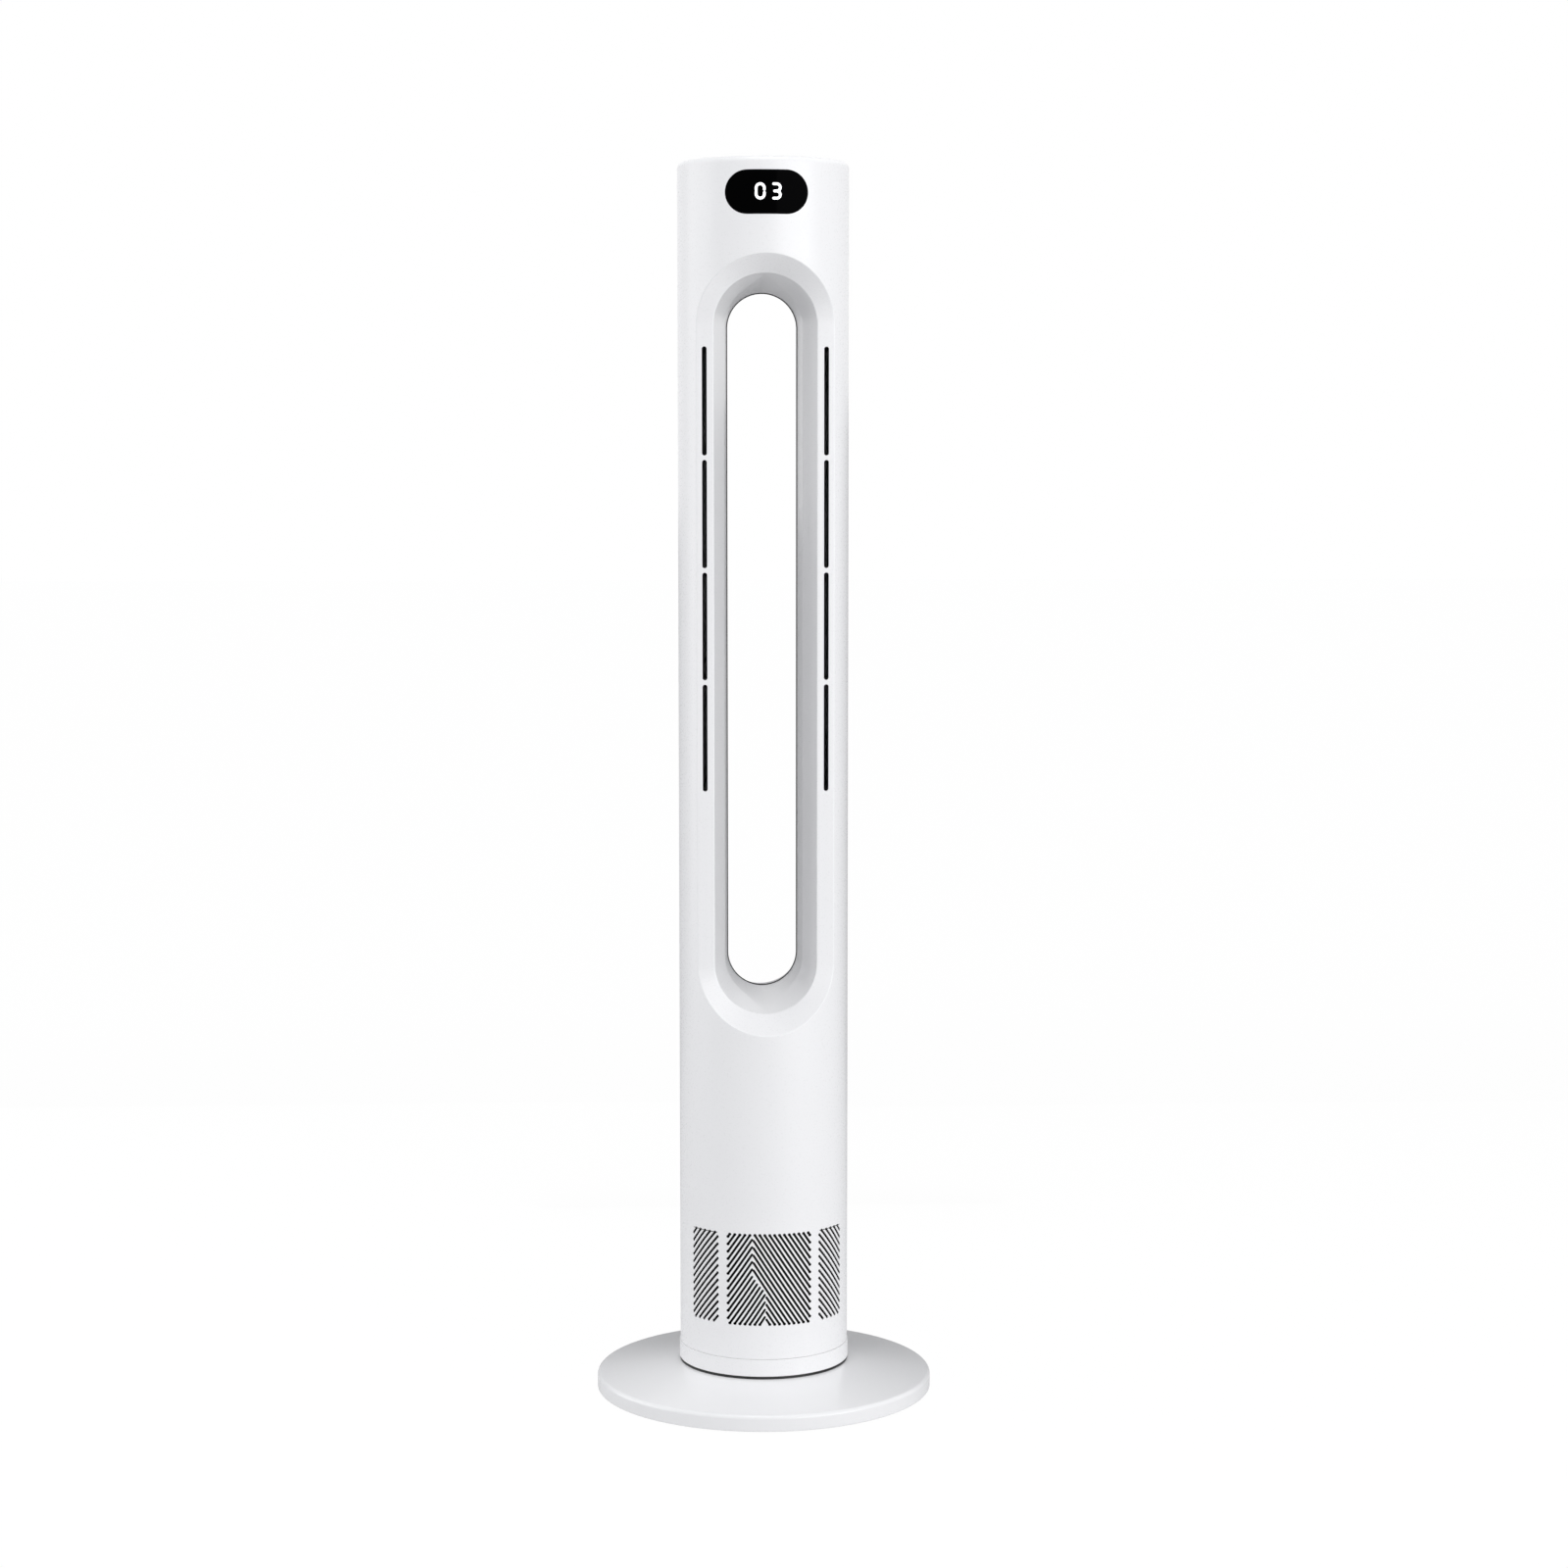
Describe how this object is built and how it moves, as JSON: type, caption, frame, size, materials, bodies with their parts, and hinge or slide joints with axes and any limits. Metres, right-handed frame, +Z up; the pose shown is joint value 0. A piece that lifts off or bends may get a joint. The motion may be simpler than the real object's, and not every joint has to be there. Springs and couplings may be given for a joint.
{
  "type": "bladeless tower fan",
  "caption": "Round white tower fan with a tall open oval air outlet, slotted edges, slanted intake grille, lit display and a flat disc base.",
  "frame": {"origin": "centre of the disc base on the floor", "axes": "+Z up the column, -Y out of the front with the display"},
  "size_m": [0.3, 0.3, 1.09],
  "materials": {
    "shell_white": "satin moulded ABS",
    "foot_white": "satin moulded ABS",
    "base_white": "satin moulded ABS",
    "tunnel_white": "satin moulded ABS",
    "lens_black": "polished smoked acrylic",
    "digit_light": "lit light guide",
    "key_white": "satin moulded ABS",
    "nozzle_black": "fine textured",
    "moulded_black": "fine textured",
    "filter_black": "fine woven nylon mesh",
    "impeller_grey": "glass filled nylon",
    "rubber_black": "moulded",
    "plate_steel": "zinc plated",
    "screw_steel": "zinc plated",
    "ground_steel": "ground",
    "core_steel": "laminated",
    "cast_alloy": "die cast",
    "stepper_steel": "nickel plated",
    "acetal_white": "moulded acetal",
    "board_green": "solder mask",
    "component_dark": "moulded",
    "winding_copper": "enamelled copper wire",
    "pin_brass": "nickel over brass",
    "lead_black": "PVC sheath"
  },
  "bodies": {
    "base": {"base_cover": "base_white", "weight_plate": "plate_steel", "base_bottom_cover": "moulded_black", "rubber_feet": "rubber_black", "base_screws": "screw_steel", "swivel_spindle": "plate_steel", "spindle_screws": "screw_steel", "thrust_washer": "acetal_white", "spindle_clip": "plate_steel", "swivel_gear": "acetal_white", "power_inlet": "moulded_black", "inlet_pins": "pin_brass", "mains_lead": "lead_black"},
    "column": {"board_spacers": "acetal_white", "chassis_screws": "screw_steel", "column_foot": "foot_white", "control_board": "board_green", "control_board_screws": "screw_steel", "damper_screws": "screw_steel", "damper_sleeves": "plate_steel", "diffuser": "moulded_black", "display_board": "board_green", "display_digits": "digit_light", "display_lens": "lens_black", "display_module": "moulded_black", "dust_filter": "filter_black", "fan_housing": "moulded_black", "front_shell": "shell_white", "housing_dampers": "rubber_black", "inlet_ring": "moulded_black", "key_switches": "component_dark", "left_nozzle": "nozzle_black", "lens_seal": "rubber_black", "motor_bearings": "ground_steel", "motor_bracket": "plate_steel", "motor_case": "cast_alloy", "motor_lid": "cast_alloy", "motor_stator": "core_steel", "motor_windings": "winding_copper", "power_board": "board_green", "power_board_parts": "component_dark", "rear_shell": "shell_white", "rear_tunnel": "tunnel_white", "remote_receiver": "moulded_black", "right_nozzle": "nozzle_black", "shell_screws": "screw_steel", "swivel_motor": "stepper_steel", "top_panel": "shell_white", "tunnel_liner": "tunnel_white", "tunnel_seal": "rubber_black", "turning_ring": "moulded_black"},
    "impeller": {"impeller": "impeller_grey", "motor_rotor": "core_steel", "motor_shaft": "ground_steel", "impeller_nut": "screw_steel"},
    "pinion": {"swivel_pinion": "acetal_white"},
    "power_key_body": {"power_key": "key_white"},
    "speed_key_body": {"speed_key": "key_white"},
    "swing_key_body": {"swing_key": "key_white"},
    "timer_key_body": {"timer_key": "key_white"}
  },
  "joints": [
    {"name": "column_swing", "type": "hinge", "parent": "base", "child": "column", "pos_m": [0, 0, 0.03], "axis": [0, 0, 1], "range_deg": [-40, 40]},
    {"name": "impeller_spin", "type": "hinge", "parent": "column", "child": "impeller", "pos_m": [0, 0, 0.2], "axis": [0, 0, 1], "continuous": true},
    {"name": "pinion_spin", "type": "hinge", "parent": "column", "child": "pinion", "pos_m": [0, 0.02615, 0.056], "axis": [0, 0, 1], "range_deg": [-134, 134]},
    {"name": "power_key_press", "type": "slide", "parent": "column", "child": "power_key_body", "axis": [0, 0, -1], "range_m": [0, 0.0008], "stiffness_N_per_m": 500},
    {"name": "speed_key_press", "type": "slide", "parent": "column", "child": "speed_key_body", "axis": [0, 0, -1], "range_m": [0, 0.0008], "stiffness_N_per_m": 500},
    {"name": "swing_key_press", "type": "slide", "parent": "column", "child": "swing_key_body", "axis": [0, 0, -1], "range_m": [0, 0.0008], "stiffness_N_per_m": 500},
    {"name": "timer_key_press", "type": "slide", "parent": "column", "child": "timer_key_body", "axis": [0, 0, -1], "range_m": [0, 0.0008], "stiffness_N_per_m": 500}
  ],
  "couplings": [
    {"joint": "pinion_spin", "follows": "column_swing", "ratio": 3.3333}
  ]
}
